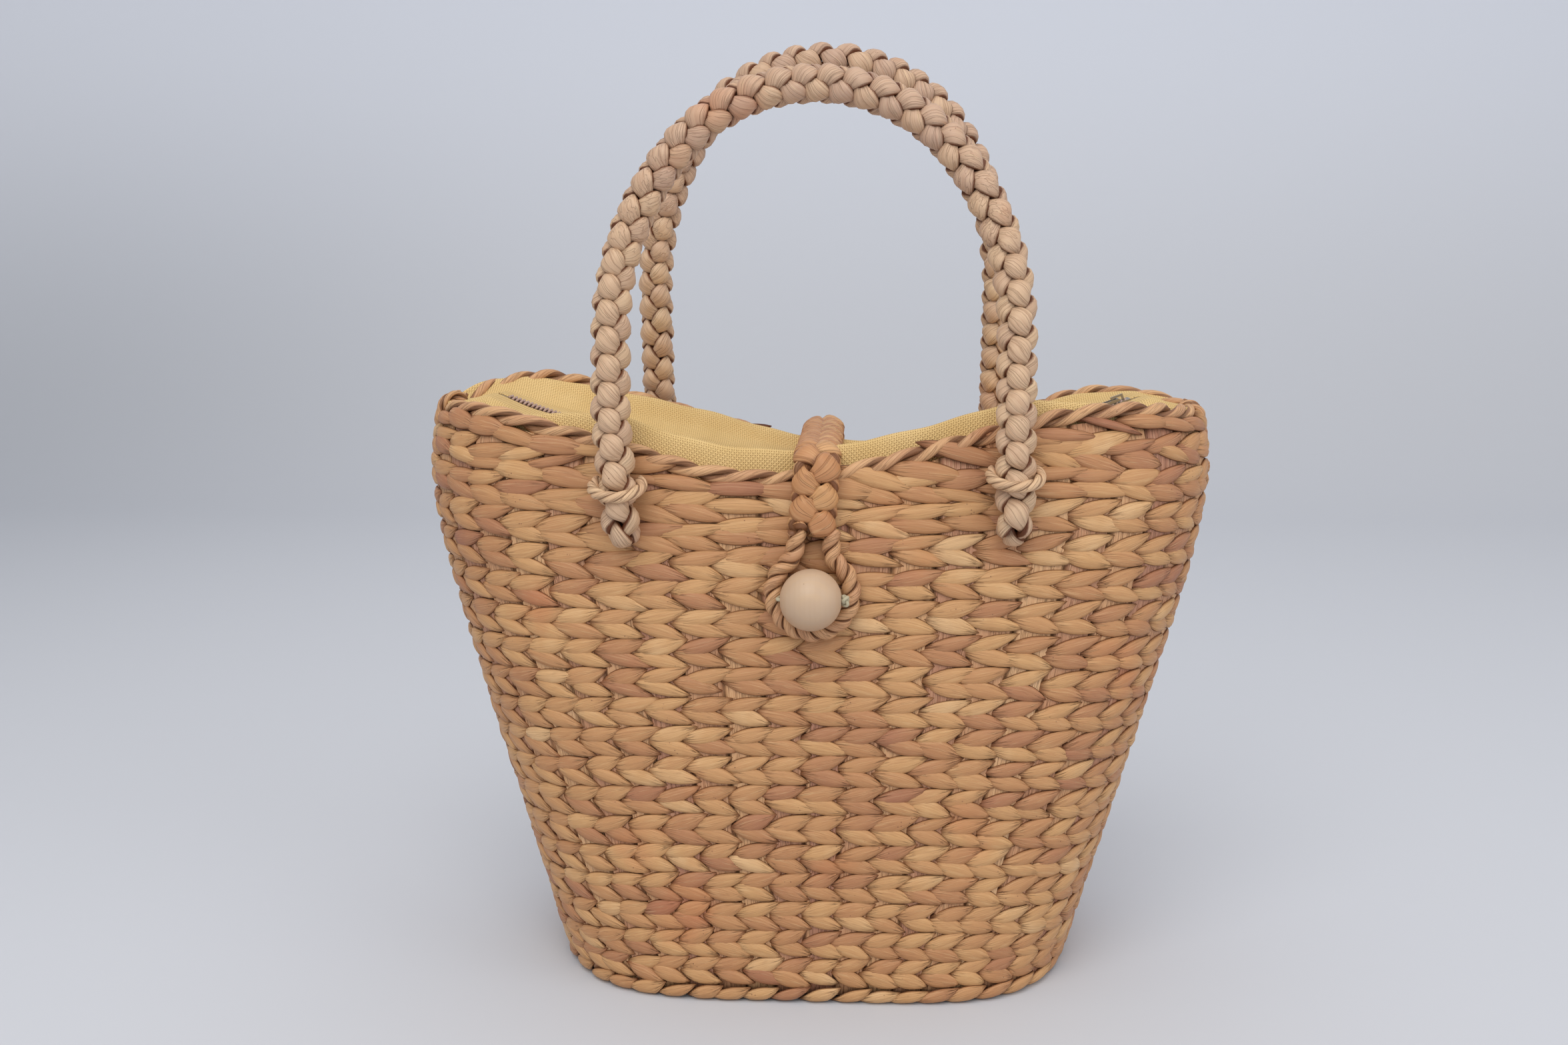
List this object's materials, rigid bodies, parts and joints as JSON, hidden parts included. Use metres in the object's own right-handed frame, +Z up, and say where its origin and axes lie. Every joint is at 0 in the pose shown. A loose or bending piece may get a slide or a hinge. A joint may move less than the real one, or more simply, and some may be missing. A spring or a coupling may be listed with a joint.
{
  "type": "basket box bag",
  "caption": "Twined water-hyacinth box handbag with plaited handles, zipped cloth lining and a loop-and-bead strap closure.",
  "frame": {"origin": "centre of the base's underside", "axes": "+X along the bag's length, -Y towards its front, the side with the bead, +Z up"},
  "size_m": [0.3372, 0.1659, 0.3995],
  "materials": {
    "straw_weave": "dried water-hyacinth stalk, twined, satin",
    "straw_rope": "two-ply twisted water-hyacinth rope, satin",
    "straw_braid": "braided water hyacinth, slightly pinker, satin",
    "straw_plait": "four-strand plait, pale, satin",
    "canvas": "pale yellow open plain-weave cotton",
    "zip_tape": "fine woven zip tape",
    "zip_coil": "mauve-brown nylon coil",
    "zip_metal": "aged light brass",
    "pale_wood": "turned, sanded, unvarnished",
    "bead_cord": "pale grey-green waxed cotton cord"
  },
  "bodies": {
    "basket": {"basket_body": "straw_weave", "rim_cord": "straw_rope", "lining": "canvas", "lining_panel_front": "canvas", "lining_panel_back": "canvas", "zip_tape_front": "zip_tape", "zip_tape_back": "zip_tape", "zip_coil_front": "zip_coil", "zip_coil_back": "zip_coil", "zip_stop_left": "zip_metal", "zip_stop_right": "zip_metal", "closure_strap": "straw_braid", "bead_cord": "bead_cord", "front_handle_end_left": "straw_plait", "front_handle_end_right": "straw_plait", "front_tie_left": "straw_rope", "front_tie_right": "straw_rope", "back_handle_end_left": "straw_plait", "back_handle_end_right": "straw_plait", "back_tie_left": "straw_rope", "back_tie_right": "straw_rope"},
    "front_bow": {"front_handle": "straw_plait"},
    "back_bow": {"back_handle": "straw_plait"},
    "flap": {"closure_flap": "straw_braid", "closure_loop": "straw_braid"},
    "bead": {"bead": "pale_wood"},
    "slider": {"zip_slider": "zip_metal"},
    "pull": {"zip_pull": "zip_metal"}
  },
  "joints": [
    {"name": "front_handle_swing", "type": "hinge", "parent": "basket", "child": "front_bow", "pos_m": [0, -0.063, 0.244], "axis": [1, 0, 0], "range_deg": [-15, 90]},
    {"name": "back_handle_swing", "type": "hinge", "parent": "basket", "child": "back_bow", "pos_m": [0, 0.063, 0.244], "axis": [-1, 0, 0], "range_deg": [-12, 90]},
    {"name": "closure_flap_lift", "type": "hinge", "parent": "basket", "child": "flap", "pos_m": [0, -0.0614, 0.229], "axis": [-1, 0, 0], "range_deg": [0, 120]},
    {"name": "bead_spin", "type": "hinge", "parent": "basket", "child": "bead", "pos_m": [0, -0.07522, 0.173], "axis": [1, 0, 0], "continuous": true},
    {"name": "zip_slide", "type": "hinge", "parent": "basket", "child": "slider", "pos_m": [0, 0, 0.58556], "axis": [0, 1, 0], "range_deg": [0, 41.3]},
    {"name": "zip_pull_tilt", "type": "hinge", "parent": "slider", "child": "pull", "pos_m": [0.12859, 0, 0.2455], "axis": [0, 1, 0], "range_deg": [0, 150]}
  ]
}
